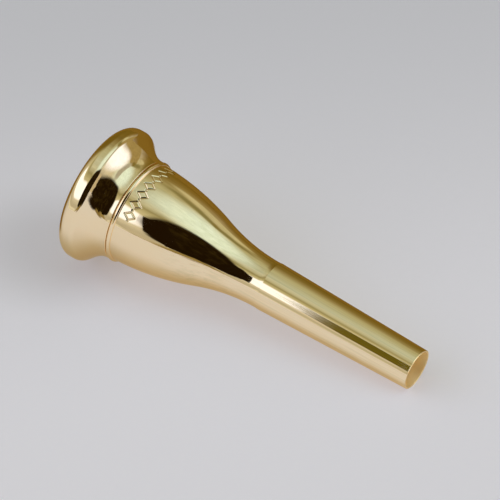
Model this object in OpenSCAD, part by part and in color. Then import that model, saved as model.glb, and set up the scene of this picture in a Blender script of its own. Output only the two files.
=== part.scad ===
// French horn mouthpiece with a screw rim.
// Everything is turned about the bore axis, which lies along +X.
// The origin is the centre of the shank's open end, and the rim is at +X.
// Inside the outlines, x runs out from the bore axis and y runs along it.

/* [Overall] */
// Length from the shank's end to the crown of the rim
overall_length = 64.1; // [63.9:0.1:66]

/* [Shank and backbore] */
// Outside radius of the shank at its open end
shank_end_r = 3.56; // [3.5:0.01:3.7]
// Length of the ground taper that seats in the horn's receiver
shank_length = 29; // [26:0.5:30]
// Growth in diameter for each millimetre along the taper
shank_taper = 0.05; // [0.04:0.005:0.06]
// Depth of the relief where the taper ends
relief_depth = 0.06; // [0.03:0.01:0.1]
// Radius of the backbore where it leaves the shank
backbore_end_r = 3.24; // [3.1:0.01:3.3]

/* [Cup and throat] */
// Radius of the throat, the narrowest part of the bore
throat_r = 2.4; // [2.2:0.05:2.6]
// Distance from the shank's end to the start of the throat
throat_start = 26; // [24:0.5:28]
// Length of the straight throat
throat_length = 5; // [4:0.5:6]
// How strongly the cup flares out: 1 is a straight funnel
cup_power = 1.7; // [1.6:0.05:1.9]

/* [Body] */
// Arc radius of the hollow waist above the shank
waist_arc_r = 34; // [32:0.5:36]
// Arc radius of the full body below the shoulder
body_arc_r = 47.8; // [46:0.1:49]
// Steepest slope of the body, where the two arcs meet
waist_angle = 19.5; // [19:0.1:20]
// Slope of the body where it meets the bead
shoulder_angle = 2; // [1:0.25:3]
// Radius of the half-round bead on the shoulder's edge
bead_r = 0.4; // [0.3:0.01:0.5]

/* [Rim] */
// Radius at the bite, the inner edge that the lips feel
bite_r = 8.75; // [8.6:0.05:9]
// Arc radius that rounds the rim's inner edge
bite_round = 1.55; // [1.4:0.05:1.7]
// Arc radius that rounds the rim's outer edge
edge_round = 1.8; // [1.6:0.05:2]
// Radius of the skirt, the straight foot under the flare
skirt_r = 9.18; // [9.1:0.01:9.25]
// Length of the straight skirt
skirt_length = 0.28; // [0.1:0.01:0.4]
// Arc radius of the hollow part of the flare
hollow_arc_r = 4.2; // [3.8:0.1:4.4]
// Steepest slope of the flare
flare_angle = 43.5; // [42:0.5:46]
// Arc radius that rounds the flare into the rim's outside
brow_arc_r = 1.3; // [1:0.05:1.4]

/* [Screw joint] */
// Gap in the seam between the shoulder and the rim's skirt
seam_gap = 0.04; // [0.02:0.01:0.15]
// Height of the threaded neck above the shoulder
neck_height = 2.7; // [2.6:0.05:2.9]
// Outside radius of the neck's thread
thread_r = 8.5; // [8.45:0.01:8.55]
// Pitch of the thread
thread_pitch = 0.6; // [0.58:0.01:0.64]
// Depth of the thread
thread_depth = 0.3; // [0.26:0.01:0.32]
// Running clearance between the two threads
thread_gap = 0.1; // [0.08:0.01:0.12]
// Gap between the neck's top and the step inside the rim
seat_gap = 0.05; // [0.03:0.01:0.08]

/* [Seal ring] */
// Section diameter of the ring
seal_d = 0.5; // [0.45:0.01:0.52]
// Gap between the ring and the neck's land
seal_gap = 0.05; // [0.03:0.01:0.08]
// Radius of the land under the ring
land_r = 7.95; // [7.9:0.01:8]

/* [Hidden] */
$fn = 128;

gold = [0.83, 0.66, 0.34];
nitrile = [0.06, 0.05, 0.05];

// Steps in the arcs and along the cup's wall
arc_steps = 10;
cup_steps = 20;

end_break = 0.08;
relief_length = 0.5;

// Shank: a straight taper, then a small relief where it meets the waist
shank_top_r = shank_end_r + shank_length * shank_taper / 2;
waist_r = shank_top_r - relief_depth;
waist_start = shank_length + relief_length;

// Body: a hollow arc, then a full arc with the same slope where they meet
meeting_r = waist_r + waist_arc_r * (1 - cos(waist_angle));
meeting = waist_start + waist_arc_r * sin(waist_angle);
body_top_r = meeting_r + body_arc_r * (cos(shoulder_angle) - cos(waist_angle));
body_top = meeting + body_arc_r * (sin(waist_angle) - sin(shoulder_angle));
shoulder = body_top + 2 * bead_r;

// Rim: bite, crown and outer edge
bite = overall_length - bite_round;
crown_r = bite_r + bite_round;
edge = overall_length - edge_round;
edge_r = crown_r + edge_round;

// Flare: a straight skirt, a hollow arc, a cone, then a full arc out to the rim's outside
skirt_end = shoulder + seam_gap;
hollow_start = skirt_end + skirt_length;
hollow_rise = hollow_arc_r * (1 - cos(flare_angle));
brow_rise = brow_arc_r * (1 - cos(flare_angle));
cone_length = (edge_r - skirt_r - hollow_rise - brow_rise) / tan(flare_angle);
brow_end = hollow_start + hollow_arc_r * sin(flare_angle) + cone_length + brow_arc_r * sin(flare_angle);

// Screw joint: the neck's thread with a plain land above it, and a groove in the rim round that land
neck_top = shoulder + neck_height;
thread_root_r = thread_r - thread_depth;
land_length = seal_d + 2 * seal_gap;
land_start = neck_top - land_length;
neck_break = 0.1;
groove_r = land_r + seal_d + 5 * seal_gap;
mouth_r = thread_r + thread_gap + 0.05;
mouth_depth = 0.3;

// Facets round a thread, rows of facets in one pitch, and how far threaded rods run past their ends
thread_facets = 40;
thread_rows = 8;
overrun = 0.1;

cup_start = throat_start + throat_length;

// Radius of the cup's wall at a distance from the shank's end
function cup_r(at) =
    throat_r + (bite_r - throat_r) * pow((at - cup_start) / (bite - cup_start), cup_power);

// Points of the cup's wall between two distances from the shank's end
function cup_wall(from, to, steps = cup_steps) =
    [for (i = [0 : steps]) let (at = from + (to - from) * i / steps) [cup_r(at), at]];

// Points of an arc about a centre, from one angle to another
function arc(centre, r, from, to, steps = arc_steps) =
    [for (i = [0 : steps]) let (a = from + (to - from) * i / steps) centre + r * [cos(a), sin(a)]];

// Turns an outline about the bore axis
module turned() {
    rotate([0, 90, 0]) rotate_extrude() children();
}

// How far a right-hand thread of unit depth stands out at a height and an angle round the axis
function thread_wave(at, angle) = (1 + cos(360 * (at - shoulder) / thread_pitch - angle)) / 2;

// A threaded rod about the bore axis. Its thread rises to full depth over a distance from each end.
module threaded_rod(root_r, from, to, rise = 0) {
    rows = ceil((to - from) / thread_pitch * thread_rows);
    function depth(at) =
        rise == 0 ? thread_depth : thread_depth * max(0, min(1, (at - from) / rise, (to - at) / rise));
    points = [
        for (row = [0 : rows], i = [0 : thread_facets - 1])
            let (
                at = from + (to - from) * row / rows,
                angle = 360 * i / thread_facets,
                r = root_r + depth(at) * thread_wave(at, angle)
            )
            [r * cos(angle), r * sin(angle), at]
    ];
    sides = [
        for (row = [0 : rows - 1], i = [0 : thread_facets - 1])
            let (
                a = row * thread_facets + i,
                b = row * thread_facets + (i + 1) % thread_facets
            )
            each [[a, a + thread_facets, b], [b, a + thread_facets, b + thread_facets]]
    ];
    bottom = [for (i = [0 : thread_facets - 1]) i];
    top = [for (i = [thread_facets - 1 : -1 : 0]) rows * thread_facets + i];
    rotate([0, 90, 0]) polyhedron(points = points, faces = concat(sides, [bottom, top]), convexity = 10);
}

// Cup, throat, backbore and shank, turned from one bar, with the threaded neck that takes the rim
module cup_and_shank() {
    shank = [[0, 0], [shank_end_r - end_break, 0], [shank_end_r, end_break], [shank_top_r, shank_length]];
    waist = arc([waist_r + waist_arc_r, waist_start], waist_arc_r, 180, 180 - waist_angle);
    body = arc(
        [meeting_r - body_arc_r * cos(waist_angle), meeting + body_arc_r * sin(waist_angle)],
        body_arc_r, -waist_angle, -shoulder_angle);
    bead = arc([body_top_r, body_top + bead_r], bead_r, -90, 90);
    neck = [[land_r, shoulder], [land_r, neck_top - neck_break], [land_r - neck_break, neck_top], [0, neck_top]];
    backbore = [[0, -overrun], [backbore_end_r, -overrun], [backbore_end_r, 0], [throat_r, throat_start]];
    cup = cup_wall(cup_start, neck_top);
    cup_mouth = [[cup_r(neck_top), neck_top + overrun], [0, neck_top + overrun]];
    color(gold) difference() {
        union() {
            turned() polygon(concat(shank, waist, body, bead, neck));
            threaded_rod(thread_root_r, shoulder - overrun, land_start, thread_pitch / 2);
        }
        turned() polygon(concat(backbore, cup, cup_mouth));
    }
}

// Seal that the rim carries in its groove; it grips the land at the top of the neck
module seal_ring() {
    color(nitrile) turned()
        translate([land_r + seal_gap + seal_d / 2, land_start + land_length / 2]) circle(d = seal_d);
}

// Screw rim: the lip surface, the flared skirt under it, and the thread inside
module rim() {
    cup = cup_wall(neck_top + seat_gap, bite, 6);
    lip = concat(
        arc([crown_r, bite], bite_round, 180, 90),
        arc([crown_r, edge], edge_round, 90, 0));
    brow = arc([edge_r - brow_arc_r, brow_end], brow_arc_r, 0, -flare_angle);
    hollow = arc([skirt_r + hollow_arc_r, hollow_start], hollow_arc_r, 180 - flare_angle, 180);
    thread_start = skirt_end + mouth_depth;
    socket = [
        [skirt_r, skirt_end],
        [mouth_r, skirt_end],
        [mouth_r, thread_start],
        [land_r, thread_start],
        [land_r, land_start],
        [groove_r, land_start],
        [groove_r, neck_top + seat_gap]
    ];
    color(gold) difference() {
        turned() polygon(concat(cup, lip, brow, hollow, socket));
        threaded_rod(thread_root_r + thread_gap, thread_start - overrun, land_start + overrun);
    }
}

cup_and_shank();
seal_ring();
rim();
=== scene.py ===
"""Looks of a gold-plated horn mouthpiece whose rim screws off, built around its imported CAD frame.

The bore axis lies along +X, and the origin is the centre of the shank's open end.
Outlines are lists of points in millimetres: (radius from the bore axis, distance from the shank's end).
The mouthpiece lies on its side, so the floor touches the rim and the shank's end.
"""

import math

import bpy
import numpy as np
from mathutils import Matrix, Vector


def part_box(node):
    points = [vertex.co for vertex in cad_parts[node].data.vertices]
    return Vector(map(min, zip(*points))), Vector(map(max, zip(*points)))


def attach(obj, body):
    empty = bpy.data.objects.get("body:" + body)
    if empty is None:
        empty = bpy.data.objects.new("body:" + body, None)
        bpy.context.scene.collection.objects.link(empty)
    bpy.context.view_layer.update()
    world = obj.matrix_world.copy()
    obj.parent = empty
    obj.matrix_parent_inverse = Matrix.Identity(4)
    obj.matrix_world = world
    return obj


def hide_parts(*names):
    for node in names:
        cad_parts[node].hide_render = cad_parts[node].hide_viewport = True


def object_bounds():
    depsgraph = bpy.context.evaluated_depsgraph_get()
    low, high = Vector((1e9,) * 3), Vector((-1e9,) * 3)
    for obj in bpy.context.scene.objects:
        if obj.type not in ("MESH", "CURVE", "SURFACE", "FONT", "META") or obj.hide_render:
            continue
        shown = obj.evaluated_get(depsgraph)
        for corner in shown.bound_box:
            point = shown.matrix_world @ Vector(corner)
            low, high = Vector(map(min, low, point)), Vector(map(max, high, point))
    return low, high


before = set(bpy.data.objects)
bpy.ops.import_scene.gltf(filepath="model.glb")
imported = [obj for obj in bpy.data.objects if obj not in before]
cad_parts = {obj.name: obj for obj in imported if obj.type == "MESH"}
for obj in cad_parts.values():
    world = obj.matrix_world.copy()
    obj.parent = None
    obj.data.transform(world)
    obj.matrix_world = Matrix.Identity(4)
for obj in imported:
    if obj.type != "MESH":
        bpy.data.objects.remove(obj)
cad_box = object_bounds()

MM = 0.001

# ---------------------------------------------------------------- sizes from the frame, in mm

_, cup_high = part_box("cup_and_shank")
rim_low, rim_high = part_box("rim")

NECK_TOP = cup_high.x / MM
SKIRT_END = rim_low.x / MM
LENGTH = rim_high.x / MM
EDGE_R = rim_high.z / MM

# ---------------------------------------------------------------- sizes of the details, in mm

SHANK_END_R = 3.56
SHANK_LENGTH = 29.0
SHANK_TAPER = 0.05
SHANK_TOP_R = SHANK_END_R + SHANK_LENGTH * SHANK_TAPER / 2
RELIEF_DEPTH = 0.06
RELIEF_LENGTH = 0.5
WAIST_R = SHANK_TOP_R - RELIEF_DEPTH
WAIST_START = SHANK_LENGTH + RELIEF_LENGTH
END_BREAK = 0.08

BACKBORE_END_R = 3.24
THROAT_R = 2.4
THROAT_START = 26.0
CUP_START = 31.0
CUP_POWER = 1.7

WAIST_ARC_R = 34.0
BODY_ARC_R = 47.8
WAIST_ANGLE = 19.5
SHOULDER_ANGLE = 2.0
BEAD_R = 0.4

SEAM_GAP = 0.04
SHOULDER = SKIRT_END - SEAM_GAP

BITE_R = 8.75
BITE_ROUND = 1.55
EDGE_ROUND = 1.8
SKIRT_R = 9.18
SKIRT_LENGTH = 0.28
HOLLOW_ARC_R = 4.2
FLARE_ANGLE = 43.5
BROW_ARC_R = 1.3
# Slopes where the flare leaves its hollow arc and where it reaches its brow arc
HOLLOW_TURN = 30.0
BROW_TURN = 48.0
CROWN_R = BITE_R + BITE_ROUND
BITE = LENGTH - BITE_ROUND
EDGE = LENGTH - EDGE_ROUND

THREAD_PITCH = 0.6
THREAD_DEPTH = 0.3
THREAD_ROOT_R = 8.2
THREAD_GAP = 0.1
SEAT_GAP = 0.05
SEAL_D = 0.5
SEAL_GAP = 0.05
LAND_R = 7.95
LAND_START = NECK_TOP - SEAL_D - 2 * SEAL_GAP
GROOVE_R = LAND_R + SEAL_D + 5 * SEAL_GAP
MOUTH_R = THREAD_ROOT_R + THREAD_DEPTH + THREAD_GAP + 0.05
SOCKET_START = SKIRT_END + 0.3

# Engraved band of lozenges under the bead, where it starts and ends round the body, in degrees from +Y
BAND_MIDDLE = 53.35
BAND_HALF_HEIGHT = 1.2
BAND_FROM, BAND_TO = 33.0, 127.0
LOZENGES = 7
# Radius that the band's length is measured at, and half a lozenge's width as a share of the spacing
BAND_R = 8.8
LOZENGE_HALF_WIDTH = 0.34
DOT_R = 0.08
GROOVE_HALF_WIDTH = 0.2
GROOVE_DEPTH = 0.12
# The band is cut only outside this radius, so it leaves the cup's wall alone
BAND_LEAST_R = 7.0

# Height of the parting line on the seal ring, and half its width as a share of the ring's section
PARTING_LINE = 0.012
PARTING_LINE_WIDTH = 0.12

COLUMNS = 192
BAND_COLUMNS = 300
ROW_STEP = 0.055
THREAD_ROWS = 16


# ---------------------------------------------------------------- outlines

def arc(centre, radius, start, end, step=1.5):
    """Points of an arc round a centre, with its angles in degrees from the outward direction."""
    count = max(4, int(abs(end - start) / step))
    angles = np.radians(np.linspace(start, end, count + 1))
    return [(centre[0] + radius * math.cos(a), centre[1] + radius * math.sin(a)) for a in angles]


def straight(start, end, ease=0.05):
    """Points of a straight line, with a support point close to each end."""
    length = math.dist(start, end)
    shares = [0, 0.5, 1]
    if length > 6 * ease:
        shares = [0, ease / length, 0.25, 0.5, 0.75, 1 - ease / length, 1]
    return [tuple(a + (b - a) * share for a, b in zip(start, end)) for share in shares]


def s_curve(start, start_slope, end, end_slope, count):
    """Points of a smooth curve between two points, with its slopes from the bore axis in degrees."""
    start, end = np.array(start), np.array(end)
    length = math.dist(start, end)
    leave, reach = (
        np.array((math.sin(a), math.cos(a))) * length for a in np.radians((start_slope, end_slope)))
    return [
        tuple(
            start * (1 - t) ** 2 * (1 + 2 * t) + end * t * t * (3 - 2 * t)
            + leave * t * (1 - t) ** 2 - reach * t * t * (1 - t))
        for t in np.linspace(0, 1, count + 1)
    ]


def corner(before, point, after, radius, steps=6):
    """Points that round a corner between its two neighbours."""
    point, before, after = np.array(point), np.array(before), np.array(after)
    to_before = (before - point) / np.linalg.norm(before - point)
    to_after = (after - point) / np.linalg.norm(after - point)
    half = math.acos(np.clip(to_before @ to_after, -1, 1)) / 2
    reach = radius / math.tan(half)
    middle = to_before + to_after
    centre = point + middle / np.linalg.norm(middle) * radius / math.sin(half)
    first = point + to_before * reach - centre
    last = point + to_after * reach - centre
    sweep = math.pi - 2 * half
    spokes = [
        (first * math.sin((1 - s) * sweep) + last * math.sin(s * sweep)) / math.sin(sweep)
        for s in np.linspace(0, 1, steps + 1)
    ]
    return [tuple(centre + spoke) for spoke in spokes]


def cup_r(at):
    """Radius of the cup's wall at a distance from the shank's end."""
    return THROAT_R + (BITE_R - THROAT_R) * ((at - CUP_START) / (BITE - CUP_START)) ** CUP_POWER


def cup_wall(start, end, count):
    """Points of the cup's wall between two distances."""
    return [(cup_r(at), at) for at in np.linspace(start, end, count + 1)]


def thread_rows(radius, start, end):
    """Points along a threaded length, close enough together to draw the thread."""
    count = int(math.ceil((end - start) / THREAD_PITCH * THREAD_ROWS))
    return [(radius, at) for at in np.linspace(start, end, count + 1)]


def thread_wave(at, angle):
    """How far a right-hand thread of unit depth stands out, at a distance and at an angle from +Y."""
    return (1 + np.cos(2 * math.pi * (at - SHOULDER) / THREAD_PITCH - angle - math.pi / 2)) / 2


def body_stations(start, end):
    """Distances along the body: close together in the engraved band and further apart elsewhere."""
    band_start = BAND_MIDDLE - BAND_HALF_HEIGHT - 2 * ROW_STEP
    band_end = BAND_MIDDLE + BAND_HALF_HEIGHT + 2 * ROW_STEP
    below = np.linspace(start, band_start, 24)[:-1]
    band = np.linspace(band_start, band_end, int((band_end - band_start) / ROW_STEP))
    above = np.linspace(band_end, end, 8)[1:]
    return np.concatenate([below, band, above])


def body_wall():
    """Points of the body from the relief to the bead: a hollow arc, then a full arc."""
    angle = math.radians(WAIST_ANGLE)
    meeting_r = WAIST_R + WAIST_ARC_R * (1 - math.cos(angle))
    meeting = WAIST_START + WAIST_ARC_R * math.sin(angle)
    centre_r = meeting_r - BODY_ARC_R * math.cos(angle)
    centre = meeting + BODY_ARC_R * math.sin(angle)
    top = centre - BODY_ARC_R * math.sin(math.radians(SHOULDER_ANGLE))
    waist = arc((WAIST_R + WAIST_ARC_R, WAIST_START), WAIST_ARC_R, 180, 180 - WAIST_ANGLE, 0.8)
    body = [
        (centre_r + math.sqrt(BODY_ARC_R ** 2 - (at - centre) ** 2), at)
        for at in body_stations(meeting, top)
    ]
    return waist + body[1:]


def cup_and_shank_outline():
    """The closed outline of the cup and shank, and the part of it that carries the neck's thread."""
    end_inside = (BACKBORE_END_R, 0)
    end_outside = (SHANK_END_R, 0)
    shank_top = (SHANK_TOP_R, SHANK_LENGTH)
    throat_low, throat_high = (THROAT_R, THROAT_START), (THROAT_R, CUP_START)
    wall = body_wall()
    body_top = wall[-1]
    bead = arc((body_top[0], body_top[1] + BEAD_R), BEAD_R, -80, 90, 10)
    thread = thread_rows(THREAD_ROOT_R, SHOULDER + 0.03, LAND_START)
    neck_edge = (LAND_R, NECK_TOP)
    cup_edge = (cup_r(NECK_TOP), NECK_TOP)
    cup = cup_wall(NECK_TOP - 0.05, CUP_START + 0.4, 40)
    outline = (
        corner(throat_low, end_inside, end_outside, 0.05)
        + corner(end_inside, end_outside, shank_top, END_BREAK)
        + straight((SHANK_END_R + 0.003, 0.12), (SHANK_TOP_R - 0.002, SHANK_LENGTH - 0.08))
        + corner(end_outside, shank_top, wall[0], 0.05, 3)
        + wall[:-1]
        + corner(wall[-2], body_top, (body_top[0] + 1, body_top[1]), 0.03, 3)
        + bead
        + [(THREAD_ROOT_R + 0.3, SHOULDER), (THREAD_ROOT_R + 0.03, SHOULDER)]
    )
    thread_from = len(outline)
    outline += thread
    thread_to = len(outline)
    outline += (
        [(LAND_R + 0.04, LAND_START), (LAND_R, LAND_START + 0.04)]
        + [(LAND_R, LAND_START + 0.3)]
        + corner((LAND_R, LAND_START), neck_edge, cup_edge, 0.1)
        + corner(neck_edge, cup_edge, cup[0], 0.03)
        + cup
        + corner(cup[-1], throat_high, throat_low, 0.4, 4)
        + corner(throat_high, throat_low, end_inside, 0.8, 4)
        + straight((THROAT_R + 0.06, THROAT_START - 1.8), (BACKBORE_END_R - 0.004, 0.12))
    )
    return outline, thread_from, thread_to


def rim_outline():
    """The closed outline of the rim, and the part of it that carries the socket's thread."""
    foot = (SKIRT_R, SKIRT_END)
    hollow_start = SKIRT_END + SKIRT_LENGTH
    angle = math.radians(FLARE_ANGLE)
    cone = (EDGE_R - SKIRT_R - (HOLLOW_ARC_R + BROW_ARC_R) * (1 - math.cos(angle))) / math.tan(angle)
    brow_end = hollow_start + (HOLLOW_ARC_R + BROW_ARC_R) * math.sin(angle) + cone
    hollow = arc((SKIRT_R + HOLLOW_ARC_R, hollow_start), HOLLOW_ARC_R, 180, 180 - HOLLOW_TURN, 2)
    brow = arc((EDGE_R - BROW_ARC_R, brow_end), BROW_ARC_R, -BROW_TURN, 0, 3)
    edge = arc((CROWN_R, EDGE), EDGE_ROUND, 0, 90, 4)
    lip = arc((CROWN_R, BITE), BITE_ROUND, 90, 180, 4)
    step = NECK_TOP + SEAT_GAP
    cup = cup_wall(BITE, step + 0.06, 14)[1:]
    step_edge = (cup_r(step), step)
    groove_top, groove_foot = (GROOVE_R, step), (GROOVE_R, LAND_START)
    mouth_top, mouth_foot = (MOUTH_R, SOCKET_START), (MOUTH_R, SKIRT_END)
    socket_r = THREAD_ROOT_R + THREAD_GAP
    outline = (
        corner(mouth_foot, foot, hollow[1], 0.13)
        + hollow
        + s_curve(hollow[-1], HOLLOW_TURN, brow[0], BROW_TURN, 24)[1:-1]
        + brow
        + straight(brow[-1], edge[0])[1:-1]
        + edge
        + lip[1:]
        + cup
        + corner(cup[-1], step_edge, groove_top, 0.04)
        + corner(step_edge, groove_top, groove_foot, 0.05)
        + corner(groove_top, groove_foot, (socket_r, LAND_START), 0.05)
        + [(socket_r + THREAD_DEPTH + 0.02, LAND_START)]
    )
    thread_from = len(outline)
    outline += thread_rows(socket_r, SOCKET_START, LAND_START - 0.02)[::-1]
    thread_to = len(outline)
    outline += (
        [(MOUTH_R - 0.01, SOCKET_START - 0.01)]
        + corner(mouth_top, mouth_foot, foot, 0.04)
    )
    return outline, thread_from, thread_to


# ---------------------------------------------------------------- meshes

def round_angles():
    """Angles of the mesh columns round the axis: close together over the engraved band."""
    start, end = math.radians(BAND_FROM) - 0.02, math.radians(BAND_TO) + 0.02
    plain_count = int(COLUMNS * (1 - (end - start) / (2 * math.pi)))
    band = np.linspace(start, end, BAND_COLUMNS + 1)
    plain = np.linspace(end, start + 2 * math.pi, plain_count + 1)[1:-1]
    return np.concatenate([band, plain])


def segment_distance(u, v, a, b):
    """Distance of points (u, v) from the segment between a and b."""
    du, dv = b[0] - a[0], b[1] - a[1]
    share = np.clip(((u - a[0]) * du + (v - a[1]) * dv) / (du * du + dv * dv), 0, 1)
    return np.hypot(u - a[0] - share * du, v - a[1] - share * dv)


def lozenge_band(angles, distances, radii):
    """Depth of the engraving at mesh points: a row of lozenges with a punched dot between each two."""
    width = math.radians(BAND_TO - BAND_FROM) * BAND_R / LOZENGES
    u = (angles - math.radians(BAND_FROM)) * BAND_R
    v = distances - BAND_MIDDLE
    inside = (u >= 0) & (u <= width * LOZENGES)
    place = np.mod(u, width) - width / 2
    tall = BAND_HALF_HEIGHT - GROOVE_HALF_WIDTH
    wide = width * LOZENGE_HALF_WIDTH
    side = segment_distance(np.abs(place), np.abs(v), (wide, 0), (0, tall))
    dot = np.hypot(width / 2 - np.abs(place), v) - DOT_R
    away = np.minimum(side, np.maximum(dot, 0))
    groove = np.clip(1 - away / GROOVE_HALF_WIDTH, 0, 1)
    return np.where(inside, GROOVE_DEPTH * groove ** 1.3, 0) * (radii > BAND_LEAST_R)


def ring_grid(outline, angles, thread=None, carve=None):
    """Turns a closed outline about the bore axis. Returns points in mm, and the depth carved at each."""
    radii = np.array([p[0] for p in outline])[:, None] + np.zeros(len(angles))
    distances = np.array([p[1] for p in outline])[:, None] + np.zeros(len(angles))
    around = np.zeros(len(outline))[:, None] + angles
    if thread is not None:
        rows, fade = thread
        wave = thread_wave(distances[rows], around[rows])
        radii[rows] += THREAD_DEPTH * fade(distances[rows]) * wave
    depth = np.zeros_like(radii)
    if carve is not None:
        depth = carve(around, distances, radii)
        radii = radii - depth
    grid = np.stack([distances, radii * np.cos(around), radii * np.sin(around)], axis=-1)
    return grid, depth


def grid_normals(grid):
    """Normals of a closed grid of points, from the differences between each point's neighbours."""
    along = np.roll(grid, -1, 0) - np.roll(grid, 1, 0)
    round_axis = np.roll(grid, -1, 1) - np.roll(grid, 1, 1)
    normals = np.cross(round_axis, along)
    return normals / np.linalg.norm(normals, axis=-1, keepdims=True)


def grid_piece(name, grid, masks):
    """A mesh object from a closed grid in mm, with smooth normals and a float attribute for each mask."""
    rows, columns = grid.shape[:2]
    index = np.arange(rows * columns).reshape(rows, columns)
    right, up = np.roll(index, -1, 1), np.roll(index, -1, 0)
    up_right = np.roll(up, -1, 1)
    faces = np.stack([index, up, up_right, right], axis=-1).reshape(-1, 4)
    mesh = bpy.data.meshes.new(name)
    mesh.from_pydata((grid.reshape(-1, 3) * MM).tolist(), [], faces.tolist())
    mesh.polygons.foreach_set("use_smooth", [True] * len(faces))
    for mask_name, values in masks.items():
        attribute = mesh.attributes.new(mask_name, "FLOAT", "POINT")
        attribute.data.foreach_set("value", values.reshape(-1).astype(np.float32))
    mesh.update()
    mesh.normals_split_custom_set_from_vertices(-grid_normals(grid).reshape(-1, 3))
    piece = bpy.data.objects.new(name, mesh)
    bpy.context.scene.collection.objects.link(piece)
    return piece


def row_mask(outline, columns, chosen):
    """1 on the rows whose radius and distance are chosen, and 0 elsewhere."""
    mask = np.array([1.0 if chosen(r, at) else 0.0 for r, at in outline])
    return mask[:, None] + np.zeros(columns)


def cup_and_shank(gold):
    """The cup, throat, backbore and shank with the threaded neck and the engraved band."""
    outline, first, last = cup_and_shank_outline()
    angles = round_angles()
    start, rise = SHOULDER - 0.1, THREAD_PITCH / 2

    def fade(at):
        return np.clip(np.minimum((at - start) / rise, (LAND_START - at) / rise), 0, 1)

    def on_neck(r, at):
        return SHOULDER <= at <= NECK_TOP and r > cup_r(at) + 0.1

    def in_bore(r, at):
        return at < CUP_START and r < BACKBORE_END_R + 0.02

    grid, depth = ring_grid(outline, angles, (slice(first, last), fade), lozenge_band)
    masks = {
        "engraving": depth / GROOVE_DEPTH,
        "machined": row_mask(outline, len(angles), on_neck),
        "satin": row_mask(outline, len(angles), in_bore),
    }
    return dress(grid_piece("gold_cup_and_shank", grid, masks), gold, "cup_and_shank")


def rim(gold):
    """The screw rim with its lip surface, its flare and the thread in its socket."""
    outline, first, last = rim_outline()
    angles = np.linspace(0, 2 * math.pi, COLUMNS + 1)[:-1]

    def in_socket(r, at):
        return at <= NECK_TOP + SEAT_GAP and cup_r(at) < r < SKIRT_R - 0.1

    grid, depth = ring_grid(outline, angles, (slice(first, last), np.ones_like))
    masks = {
        "engraving": depth,
        "machined": row_mask(outline, len(angles), in_socket),
    }
    return dress(grid_piece("gold_screw_rim", grid, masks), gold, "rim")


def seal_ring(nitrile):
    """The rubber ring in the rim's groove, with the fine parting line of its mould."""
    middle_r = LAND_R + SEAL_GAP + SEAL_D / 2
    middle = LAND_START + (NECK_TOP - LAND_START) / 2
    turns = np.linspace(0, 2 * math.pi, 49)[:-1]
    line = PARTING_LINE * np.exp(-(np.sin(turns) / PARTING_LINE_WIDTH) ** 2)
    section = SEAL_D / 2 - PARTING_LINE + line
    outline = [(middle_r + s * math.cos(t), middle + s * math.sin(t)) for s, t in zip(section, turns)]
    grid, _ = ring_grid(outline, np.linspace(0, 2 * math.pi, COLUMNS + 1)[:-1])
    return dress(grid_piece("rubber_seal_ring", grid, {}), nitrile, "seal_ring")


def dress(piece, material, node):
    """Gives a piece its material and puts it in the place of its CAD node."""
    piece.data.materials.append(material)
    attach(piece, node)
    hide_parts(node)
    return piece


# ---------------------------------------------------------------- node helpers

class Shader:
    """Adds nodes to a material's or a world's tree; each call returns the new node's first output."""

    def __init__(self, owner):
        owner.use_nodes = True
        self.tree = owner.node_tree
        self.tree.nodes.clear()

    def node(self, kind, inputs=None, **settings):
        """Adds a node, sets its properties, and sets or links its inputs by name or number."""
        made = self.tree.nodes.new(kind)
        for key, value in settings.items():
            setattr(made, key, value)
        for key, value in (inputs or {}).items():
            if isinstance(value, bpy.types.NodeSocket):
                self.tree.links.new(value, made.inputs[key])
            else:
                made.inputs[key].default_value = value
        return made

    def math(self, operation, *values):
        made = self.node("ShaderNodeMath", dict(enumerate(values)), operation=operation)
        return made.outputs[0]

    def ease(self, value, low, high):
        """Smooth step from 0 at low to 1 at high."""
        made = self.node(
            "ShaderNodeMapRange", {"Value": value, "From Min": low, "From Max": high},
            interpolation_type="SMOOTHSTEP")
        return made.outputs[0]

    def scale(self, value, low, high, to_low, to_high):
        """Straight map from one range of values to another."""
        made = self.node(
            "ShaderNodeMapRange",
            {"Value": value, "From Min": low, "From Max": high, "To Min": to_low, "To Max": to_high})
        return made.outputs[0]

    def mix(self, share, low, high):
        """Mix of two colours."""
        made = self.node("ShaderNodeMix", {0: share, 6: low, 7: high}, data_type="RGBA")
        return made.outputs[2]

    def ramp(self, value, stops, full):
        """Colour ramp with its stops at the given share of full."""
        made = self.node("ShaderNodeValToRGB", {0: value})
        elements = made.color_ramp.elements
        for at, colour in stops[1:-1]:
            elements.new(at / full).color = (*colour, 1)
        elements[0].color, elements[0].position = (*stops[0][1], 1), stops[0][0] / full
        elements[-1].color, elements[-1].position = (*stops[-1][1], 1), stops[-1][0] / full
        return made.outputs[0]

    def noise(self, vector, scale, detail=2.0, roughness=0.5):
        made = self.node(
            "ShaderNodeTexNoise",
            {"Vector": vector, "Scale": scale, "Detail": detail, "Roughness": roughness})
        return made.outputs[0]

    def stretch(self, vector, factors):
        made = self.node("ShaderNodeVectorMath", {0: vector, 1: factors}, operation="MULTIPLY")
        return made.outputs[0]

    def distance(self, point, other):
        made = self.node("ShaderNodeVectorMath", {0: point, 1: other}, operation="DISTANCE")
        return made.outputs[1]

    def dot(self, vector, direction):
        made = self.node("ShaderNodeVectorMath", {0: vector, 1: direction}, operation="DOT_PRODUCT")
        return made.outputs[1]


# ---------------------------------------------------------------- materials

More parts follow.
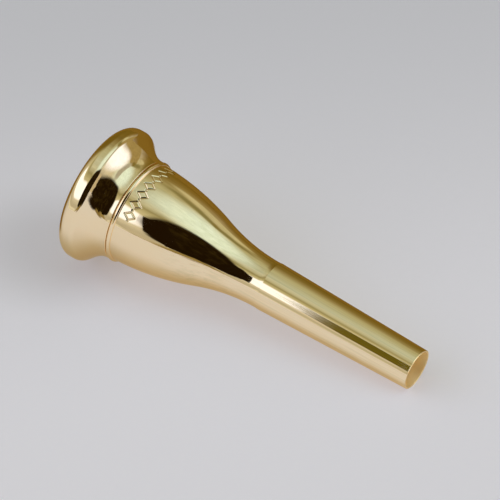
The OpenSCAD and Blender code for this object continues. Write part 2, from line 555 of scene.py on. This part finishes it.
def gold_material():
    """Mirror-polished gold plate with fine strokes, slow waves and smudges, duller where it's machined."""
    material = bpy.data.materials.new("polished_gold_plate")
    s = Shader(material)
    place = s.node("ShaderNodeTexCoord").outputs["Object"]
    engraving = s.node("ShaderNodeAttribute", attribute_name="engraving").outputs["Fac"]
    machined = s.node("ShaderNodeAttribute", attribute_name="machined").outputs["Fac"]
    satin = s.node("ShaderNodeAttribute", attribute_name="satin").outputs["Fac"]
    cut = s.ease(engraving, 0.05, 0.6)

    warmth = s.noise(place, 180, 3.0)
    plate = s.mix(s.ease(warmth, 0.35, 0.65), (1.0, 0.825, 0.555, 1), (1.0, 0.81, 0.525, 1))
    grain = s.ease(s.noise(s.stretch(place, (30, 1700, 1700)), 1.0, 3.0, 0.6), 0.4, 0.68)
    below_rim = s.ease(s.dot(place, (1, 0, 0)), 0.05, 0.04)
    darker = s.math("MULTIPLY", grain, s.math("MULTIPLY", below_rim, 0.7))
    grained = s.mix(darker, plate, (0.87, 0.725, 0.45, 1))
    # Sharp convex edges, found by their pointiness, are made a paler gold
    edge = s.ease(s.node("ShaderNodeNewGeometry").outputs["Pointiness"], 0.52, 0.6)
    paler_edges = s.mix(s.math("MULTIPLY", edge, 0.35), grained, (1.0, 0.86, 0.62, 1))
    dull = s.mix(satin, paler_edges, (1.0, 0.88, 0.60, 1))
    # The engraved grooves are painted a darker gold: painted shade in the grooves
    colour = s.mix(s.math("MULTIPLY", cut, 0.45), dull, (0.62, 0.44, 0.2, 1))

    smudge = s.ease(s.noise(place, 260, 4.0, 0.6), 0.45, 0.75)
    hairline = s.ease(s.noise(s.stretch(place, (6000, 500, 500)), 1.0, 3.0, 0.7), 0.62, 0.8)
    polish = s.math("ADD", s.scale(smudge, 0, 1, 0.035, 0.075), s.math("MULTIPLY", hairline, 0.03))
    roughness = s.math("ADD", polish, s.math("MULTIPLY", machined, 0.22))
    roughness = s.math("ADD", roughness, s.math("MULTIPLY", satin, 0.5))
    roughness = s.math("ADD", roughness, s.math("MULTIPLY", cut, 0.16))

    waves = s.noise(place, 220, 1.0)
    slow = s.node("ShaderNodeBump", {"Height": waves, "Distance": 3e-6, "Strength": 1.0}).outputs[0]
    strokes = s.noise(s.stretch(place, (25, 2200, 2200)), 1.0, 2.0, 0.6)
    polished = s.node("ShaderNodeBump", {
        "Height": strokes, "Distance": 2e-6, "Strength": 1.0, "Normal": slow}).outputs[0]
    lathe_lines = s.noise(s.stretch(place, (18000, 60, 60)), 1.0, 2.0)
    turned = s.math("MAXIMUM", machined, satin)
    tool_marks = s.math("MULTIPLY", lathe_lines, s.scale(turned, 0, 1, 0.03, 1.0))
    fine = s.node("ShaderNodeBump", {
        "Height": tool_marks, "Distance": 1.5e-6, "Strength": 1.0, "Normal": polished}).outputs[0]

    surface = s.node("ShaderNodeBsdfPrincipled", {
        "Base Color": colour, "Metallic": 1.0, "Roughness": roughness, "Normal": fine,
        "Specular Tint": (1.0, 0.92, 0.78, 1)})
    s.node("ShaderNodeOutputMaterial", {"Surface": surface.outputs[0]})
    return material


def nitrile_material():
    """Matt black moulded rubber with a fine grain, and a little talc left in it."""
    material = bpy.data.materials.new("nitrile_rubber")
    s = Shader(material)
    place = s.node("ShaderNodeTexCoord").outputs["Object"]
    grain = s.noise(place, 9000, 4.0, 0.6)
    talc = s.ease(s.noise(place, 900, 3.0), 0.55, 0.8)
    colour = s.mix(talc, (0.012, 0.012, 0.012, 1), (0.035, 0.034, 0.032, 1))
    roughness = s.scale(grain, 0.3, 0.7, 0.42, 0.62)
    bump = s.node("ShaderNodeBump", {"Height": grain, "Distance": 4e-6, "Strength": 0.6}).outputs[0]
    surface = s.node("ShaderNodeBsdfPrincipled", {
        "Base Color": colour, "Roughness": roughness, "Normal": bump, "Sheen Weight": 0.15})
    s.node("ShaderNodeOutputMaterial", {"Surface": surface.outputs[0]})
    return material


# ---------------------------------------------------------------- where the floor and the camera are

# The floor touches the shank's end and the rim, so it slopes against the bore axis
FLOOR_TILT = math.atan2(EDGE_R - SHANK_END_R, EDGE)
FLOOR_UP = Vector((math.sin(FLOOR_TILT), 0, math.cos(FLOOR_TILT)))
FLOOR_POINT = Vector((END_BREAK, 0, -SHANK_END_R)) * MM
FLOOR_ALONG = Vector((math.cos(FLOOR_TILT), 0, -math.sin(FLOOR_TILT)))
FLOOR_ACROSS = Vector((0, 1, 0))

# The camera looks down at the floor from the side of the shank's end
CAMERA_TURN = math.radians(123.81)
CAMERA_HEIGHT = math.radians(40.69)
CAMERA_ROLL = math.radians(0.19)
CAMERA_DISTANCE = 825 * MM
CAMERA_SHIFT_RIGHT = -0.83 * MM
CAMERA_SHIFT_UP = 4.61 * MM
CAMERA_LENS = 360

TO_CAMERA = FLOOR_ALONG * math.cos(CAMERA_TURN) + FLOOR_ACROSS * math.sin(CAMERA_TURN)
BACKWARD = TO_CAMERA * math.cos(CAMERA_HEIGHT) + FLOOR_UP * math.sin(CAMERA_HEIGHT)
LEVEL_RIGHT = FLOOR_UP.cross(BACKWARD).normalized()
RIGHT = LEVEL_RIGHT * math.cos(CAMERA_ROLL) + BACKWARD.cross(LEVEL_RIGHT) * math.sin(CAMERA_ROLL)
UPWARD = BACKWARD.cross(RIGHT)


def camera():
    """A long lens at the viewing angle of the reference."""
    low, high = (Vector(corner_point) for corner_point in cad_box)
    target = (low + high) / 2 + RIGHT * CAMERA_SHIFT_RIGHT + UPWARD * CAMERA_SHIFT_UP
    data = bpy.data.cameras.new("camera")
    data.lens = CAMERA_LENS
    data.sensor_width = 36
    data.clip_start = 0.01
    data.clip_end = 100
    made = bpy.data.objects.new("camera", data)
    made.matrix_world = Matrix.Translation(target + BACKWARD * CAMERA_DISTANCE) @ Matrix(
        (RIGHT, UPWARD, BACKWARD)).transposed().to_4x4()
    bpy.context.scene.collection.objects.link(made)
    bpy.context.scene.camera = made


# ---------------------------------------------------------------- light

DARK = (0.012, 0.006, 0.0012, 1)
DARK_OLIVE = (0.028, 0.018, 0.004, 1)
OLIVE = (0.135, 0.11, 0.012, 1)

# Plain backdrop that the camera sees past the floor, on the far side and on the camera's side
FAR_PAPER = (0.49, 0.48, 0.49, 1)
NEAR_PAPER = (0.62, 0.61, 0.62, 1)

# Colours of the pale room by height above the floor, in degrees: in front and above, then behind
FRONT_RAMP = [
    (0, (0.50, 0.46, 0.36)), (10, (0.49, 0.47, 0.38)), (16, (0.62, 0.60, 0.50)),
    (50, (0.56, 0.54, 0.35)), (56, (0.43, 0.41, 0.24)), (61, (0.31, 0.29, 0.15)),
    (65, (0.43, 0.43, 0.29)), (70, (0.55, 0.57, 0.44)), (80, (0.51, 0.57, 0.48)),
    (90, (0.50, 0.56, 0.47)),
]
BACK_RAMP = [
    (0, (0.17, 0.11, 0.015)), (10, (0.22, 0.15, 0.03)), (25, (0.29, 0.23, 0.08)),
    (35, (0.33, 0.29, 0.13)), (49, (0.41, 0.39, 0.22)), (60, (0.45, 0.46, 0.29)),
    (90, (0.47, 0.52, 0.42)),
]

# Round glows: middle (azimuth from the camera's direction, height), full and outer radius, colour
GLOWS = [
    ("ceiling_light", (70, 62), (8, 38), (0.78, 0.98, 0.98)),
]

# Walls and windows, painted in this order: middle (azimuth, height), half size, corner power, softness
# and colour
CARDS = [
    ("dim_back_left", (-172, 22), (30, 36), 2, 0.8, (0.16, 0.11, 0.015)),
    ("back_right", (117, 19), (13, 28), 4, 0.5, (0.34, 0.27, 0.11)),
    ("back_shelf", (141, 32), (12, 6.5), 2, 0.8, (0.54, 0.52, 0.33)),
    ("back_rail", (135, 46.5), (21, 5.5), 2, 0.8, (0.24, 0.225, 0.095)),
    ("back_beam", (118.5, 43), (7.5, 6), 2, 0.7, (0.22, 0.18, 0.05)),
    ("right_wall", (80, 43), (30, 7), 3, 0.8, (0.41, 0.41, 0.36)),
    ("right_window", (86, 20), (19, 16), 2, 0.8, (1.20, 1.30, 1.60)),
    ("left_window", (-75, 33.5), (40, 15), 4, 0.6, (1.22, 1.30, 1.55)),
    ("left_low", (-77, -1), (31, 6), 4, 0.6, (0.72, 0.71, 0.60)),
]

# Dark shapes in front, where the photographer would stand, in the same form without the colour
DARK_SHAPES = [
    ("shoulders", (2, 34), (40, 30), 2, 0.2),
    ("camera_side", (15, 17), (41, 40), 2, 0.2),
    ("lower_left", (-4, 18), (32.5, 12), 3, 0.2),
]

# Strips painted over the dark shapes, in the form of the cards with a turn given last
STRIPS = [
    ("olive_foot", (-18, 1), (16, 4.5), 3, 0.9, (0.30, 0.23, 0.085), 0),
    ("low_gap", (42.1, 0.7), (8, 1.6), 4, 0.4, (0.55, 0.48, 0.34), 48),
    ("high_gap", (51.0, 8.1), (8, 1.6), 4, 0.4, (0.55, 0.48, 0.34), 32),
]

# Two dark cards near the shank: their heading in degrees, their distances and outlines in mm, as points
# (across, above the origin), and the headings of the rays that see none of a card and all of it
CARD_HEADING = -46.5
SHANK_CARD_DISTANCE = 100
SHANK_CARD = [(-28, 42), (-12, 33), (4, 33), (4, 112), (-14, 110), (-28, 98)]
SHANK_CARD_SEEN = (-43.0, -44.0)
WAIST_CARD_DISTANCE = 104
WAIST_CARD = [
    (-32, 36), (-23, 32), (-13, 20), (4, 20), (4, 135), (-13, 135), (-23, 108), (-32, 103),
]
WAIST_CARD_SEEN = (-46.2, -45.6)

# The round pale card in front of the shank's end, in mm, and how far its light reaches
BORE_CARD_DISTANCE = 28
BORE_CARD_R = 32
BORE_CARD_FULL_REACH = 50
BORE_CARD_REACH = 62
BORE_CARD_COLOUR = (1.0, 0.96, 0.72, 1)
BORE_CARD_STRENGTH = 2.0

# The floor, in metres. It glows by itself and is lit as well. In the polish it's a little paler, and
# darker underneath.
FLOOR_SIZE = 60.0
GLOW_SHARE = 0.5
MIRRORED_GAIN = 1.25
PAPER_TINT = (1.07, 1.04, 1.17)
UNDERSIDE_TINT = (0.75, 0.66, 0.45)
BEHIND_FLOOR = (0.187, 0.119, 0.02, 1)

# A faint shade on the floor beside the rim: its middle, where it's full and where it ends, in metres
RIM_SHADE_MIDDLE = FLOOR_POINT + (FLOOR_ALONG * 69 + FLOOR_ACROSS * 5) * MM
RIM_SHADE_FULL = 0.004
RIM_SHADE_END = 0.02
RIM_SHADE = (0.28, 0.275, 0.29, 1)
RIM_SHADE_SHARE = 0.3

# Where the photographer's shape darkens the floor in the polish, in the form of the cards
FLOOR_SHADES = [
    ("in_front", (8, -1), (28, 4), 3, 0.9, (0.19, 0.14, 0.045)),
    ("feet", (25, -1), (12, 7), 2.5, 0.6, DARK[:3]),
]


def card_mask(s, azimuth, elevation, middle, half_size, power, softness, turn=0):
    """1 inside a card with rounded corners, falling to 0 over its soft edge."""
    across = s.math("WRAP", s.math("SUBTRACT", azimuth, middle[0]), 180, -180)
    rise = s.math("SUBTRACT", elevation, middle[1])
    lean = math.radians(turn)
    cosine, sine = math.cos(lean), math.sin(lean)
    along = s.math("ADD", s.math("MULTIPLY", across, cosine), s.math("MULTIPLY", rise, sine))
    off = s.math("SUBTRACT", s.math("MULTIPLY", rise, cosine), s.math("MULTIPLY", across, sine))
    along = s.math("POWER", s.math("ABSOLUTE", s.math("DIVIDE", along, half_size[0])), power)
    off = s.math("POWER", s.math("ABSOLUTE", s.math("DIVIDE", off, half_size[1])), power)
    return s.math("SUBTRACT", 1, s.ease(s.math("ADD", along, off), 1 - softness, 1 + softness))


def heading(azimuth, elevation):
    """Direction at an azimuth from the camera's direction and a height above the floor, in degrees."""
    turn, rise = math.radians(azimuth), math.radians(elevation)
    level = TO_CAMERA * math.cos(turn) + LEVEL_RIGHT * math.sin(turn)
    return level * math.cos(rise) + FLOOR_UP * math.sin(rise)


def direction_angles(s, direction):
    """Azimuth from the camera's direction and height above the floor, both in degrees."""
    toward = s.dot(direction, TO_CAMERA)
    sideways = s.dot(direction, LEVEL_RIGHT)
    upright = s.dot(direction, FLOOR_UP)
    azimuth = s.math("DEGREES", s.math("ARCTAN2", sideways, toward))
    elevation = s.math("DEGREES", s.math("ARCSINE", upright))
    return azimuth, elevation


def studio_light():
    """The room of soft cards that lights the object and shows in its polish."""
    world = bpy.data.worlds.new("studio")
    bpy.context.scene.world = world
    s = Shader(world)
    direction = s.node("ShaderNodeTexCoord").outputs["Generated"]
    azimuth, elevation = direction_angles(s, direction)
    height = s.math("DIVIDE", elevation, 90)
    behind = s.ease(s.math("ABSOLUTE", azimuth), 112, 155)
    colour = s.mix(behind, s.ramp(height, FRONT_RAMP, 90), s.ramp(height, BACK_RAMP, 90))
    for _, middle, (full, outer), glow_colour in GLOWS:
        nearness = s.dot(direction, heading(*middle))
        mask = s.ease(nearness, math.cos(math.radians(outer)), math.cos(math.radians(full)))
        colour = s.mix(mask, colour, (*glow_colour, 1))
    for _, *shape, card_colour in CARDS:
        colour = s.mix(card_mask(s, azimuth, elevation, *shape), colour, (*card_colour, 1))
    clutter = s.mix(s.ease(s.noise(direction, 9.0, 4.0, 0.6), 0.42, 0.68), DARK, DARK_OLIVE)
    for _, *shape in DARK_SHAPES:
        colour = s.mix(card_mask(s, azimuth, elevation, *shape), colour, clutter)
    for _, *shape, strip_colour, turn in STRIPS:
        colour = s.mix(card_mask(s, azimuth, elevation, *shape, turn), colour, (*strip_colour, 1))
    drift = s.scale(s.noise(direction, 11.0, 5.0, 0.65), 0.25, 0.75, 0.86, 1.14)
    rays = s.node("ShaderNodeLightPath")
    room = s.node("ShaderNodeBackground", {"Color": colour, "Strength": drift})
    near_side = s.ease(s.dot(direction, TO_CAMERA), -0.6, 0.2)
    plain = s.node("ShaderNodeBackground", {"Color": s.mix(near_side, FAR_PAPER, NEAR_PAPER)})
    seen = s.node("ShaderNodeMixShader", {
        0: rays.outputs["Is Camera Ray"], 1: room.outputs[0], 2: plain.outputs[0]})
    s.node("ShaderNodeOutputWorld", {"Surface": seen.outputs[0]})


def polish_only(piece):
    """Hides a card from the camera and from plain light, so only the polish shows it."""
    piece.visible_camera = False
    piece.visible_diffuse = False
    piece.visible_shadow = False


def card_surface(s, share, colour, strength=1.0):
    """A glowing surface that shows as far as the share says, and is clear elsewhere."""
    glow = s.node("ShaderNodeEmission", {"Color": colour, "Strength": strength})
    clear = s.node("ShaderNodeBsdfTransparent")
    surface = s.node("ShaderNodeMixShader", {0: share, 1: clear.outputs[0], 2: glow.outputs[0]})
    s.node("ShaderNodeOutputMaterial", {"Surface": surface.outputs[0]})


def near_card(name, distance, outline, seen, colour):
    """A dark upright card near the shank, which shows as far as the function seen says."""
    aim = heading(CARD_HEADING, 0)
    across = FLOOR_UP.cross(aim)
    points = [(aim * distance + across * u + FLOOR_UP * v) * MM for u, v in outline]
    material = bpy.data.materials.new(name)
    s = Shader(material)
    geometry = s.node("ShaderNodeNewGeometry").outputs
    azimuth, _ = direction_angles(s, s.stretch(geometry["Incoming"], (-1, -1, -1)))
    place = s.stretch(geometry["Position"], (1 / MM, 1 / MM, 1 / MM))
    share = seen(s, azimuth, s.dot(place, across), s.dot(place, FLOOR_UP))
    card_surface(s, share, colour)
    polish_only(flat_piece(name, points, material))


def streaked_edge(s, azimuth, across, up):
    """The shank's card: it starts at a streaked edge, and ends at a heading."""
    streaks = s.node(
        "ShaderNodeTexNoise", {"W": up, "Scale": 0.5, "Detail": 3.0}, noise_dimensions="1D")
    edge = s.math("ADD", across, s.scale(streaks.outputs[0], 0.3, 0.7, -5, 5))
    return s.math("MULTIPLY", s.ease(edge, -25, -16), s.ease(azimuth, *SHANK_CARD_SEEN))


def sharp_edge(s, azimuth, *_):
    """The waist's card: it starts at a heading."""
    return s.ease(azimuth, *WAIST_CARD_SEEN)


def near_cards():
    """An olive card that the shank sees, and a black one behind it that the waist sees."""
    near_card("shank_card", SHANK_CARD_DISTANCE, SHANK_CARD, streaked_edge, OLIVE)
    near_card("waist_card", WAIST_CARD_DISTANCE, WAIST_CARD, sharp_edge, DARK)


def bore_card():
    """A pale card in front of the shank's end. Only gold close to it sees it, so it lights the bore."""
    turns = np.linspace(0, 2 * math.pi, 25)[:-1]
    points = [
        Vector((-BORE_CARD_DISTANCE, BORE_CARD_R * math.cos(t), BORE_CARD_R * math.sin(t))) * MM
        for t in turns
    ]
    material = bpy.data.materials.new("bore_card")
    s = Shader(material)
    length = s.node("ShaderNodeLightPath").outputs["Ray Length"]
    share = s.ease(length, BORE_CARD_REACH * MM, BORE_CARD_FULL_REACH * MM)
    card_surface(s, share, BORE_CARD_COLOUR, BORE_CARD_STRENGTH)
    polish_only(flat_piece("bore_card", points, material))


def floor_colour(s, place):
    """Colour of the lit paper: paler towards the camera as painted light, a faint painted shade and a
    faint fibre.
    """
    # Painted light: the paper is painted paler towards the camera, as if it were lit more from that side
    toward = s.dot(place, TO_CAMERA)
    sideways = s.dot(place, LEVEL_RIGHT)
    slope = s.math("ADD", toward, s.math("MULTIPLY", sideways, 0.15))
    colour = s.mix(s.ease(slope, -0.125, 0.005), (0.465, 0.462, 0.470, 1), (0.615, 0.602, 0.612, 1))
    away = s.distance(place, RIM_SHADE_MIDDLE)
    shade = s.math("MULTIPLY", s.ease(away, RIM_SHADE_END, RIM_SHADE_FULL), RIM_SHADE_SHARE)
    colour = s.mix(shade, colour, RIM_SHADE)
    fibre = s.noise(place, 900, 4.0, 0.6)
    return s.mix(s.scale(fibre, 0.3, 0.7, 0.0, 0.03), colour, (0.40, 0.40, 0.41, 1))


def floor_material():
    """Pale paper lit softly from under and above. It can't be seen from below."""
    material = bpy.data.materials.new("pale_floor")
    s = Shader(material)
    geometry = s.node("ShaderNodeNewGeometry").outputs
    mirrored = s.node("ShaderNodeLightPath").outputs["Is Glossy Ray"]
    colour = floor_colour(s, geometry["Position"])
    azimuth, elevation = direction_angles(s, s.stretch(geometry["Incoming"], (-1, -1, -1)))

    behind = s.ease(s.math("ABSOLUTE", azimuth), 98, 125)
    shallow = s.ease(elevation, -42, -34)
    dim = s.math("MULTIPLY", s.math("MULTIPLY", behind, shallow), mirrored)
    colour = s.mix(dim, colour, BEHIND_FLOOR)
    for _, *shape, shade in FLOOR_SHADES:
        share = s.math("MULTIPLY", card_mask(s, azimuth, elevation, *shape), mirrored)
        colour = s.mix(share, colour, (*shade, 1))

    # Steep rays and rays that head away from the camera meet the shaded floor under the object
    away = s.math("MULTIPLY", s.dot(geometry["Incoming"], TO_CAMERA), 0.25)
    depth = s.math("ADD", s.dot(geometry["Incoming"], FLOOR_UP), away)
    below = s.math("MULTIPLY", s.ease(depth, 0.4, 1.1), mirrored)
    colour = s.mix(below, colour, s.stretch(colour, UNDERSIDE_TINT))

    gain = s.scale(mirrored, 0, 1, GLOW_SHARE, GLOW_SHARE * MIRRORED_GAIN)
    glow = s.node("ShaderNodeEmission", {"Color": colour, "Strength": gain})
    paper = s.node("ShaderNodeBsdfDiffuse", {"Color": s.stretch(colour, PAPER_TINT)})
    lit = s.node("ShaderNodeAddShader", {0: glow.outputs[0], 1: paper.outputs[0]})
    clear = s.node("ShaderNodeBsdfTransparent")
    surface = s.node("ShaderNodeMixShader", {
        0: geometry["Backfacing"], 1: lit.outputs[0], 2: clear.outputs[0]})
    s.node("ShaderNodeOutputMaterial", {"Surface": surface.outputs[0]})
    return material


def flat_piece(name, points, material):
    """A flat card or floor through points in metres."""
    mesh = bpy.data.meshes.new(name)
    mesh.from_pydata([tuple(p) for p in points], [], [tuple(range(len(points)))])
    mesh.materials.append(material)
    made = bpy.data.objects.new(name, mesh)
    bpy.context.scene.collection.objects.link(made)
    return made


def floor():
    """The wide floor under the mouthpiece."""
    half = FLOOR_SIZE / 2
    corners = [(-half, -half), (half, -half), (half, half), (-half, half)]
    points = [FLOOR_POINT + FLOOR_ALONG * u + FLOOR_ACROSS * v for u, v in corners]
    flat_piece("floor", points, floor_material())


# ---------------------------------------------------------------- build

gold_plate = gold_material()
cup_and_shank(gold_plate)
seal_ring(nitrile_material())
rim(gold_plate)

floor()
near_cards()
bore_card()
studio_light()
camera()
bpy.context.scene.view_settings.view_transform = "Standard"
bpy.context.scene.cycles.max_bounces = 24
bpy.context.scene.cycles.glossy_bounces = 24
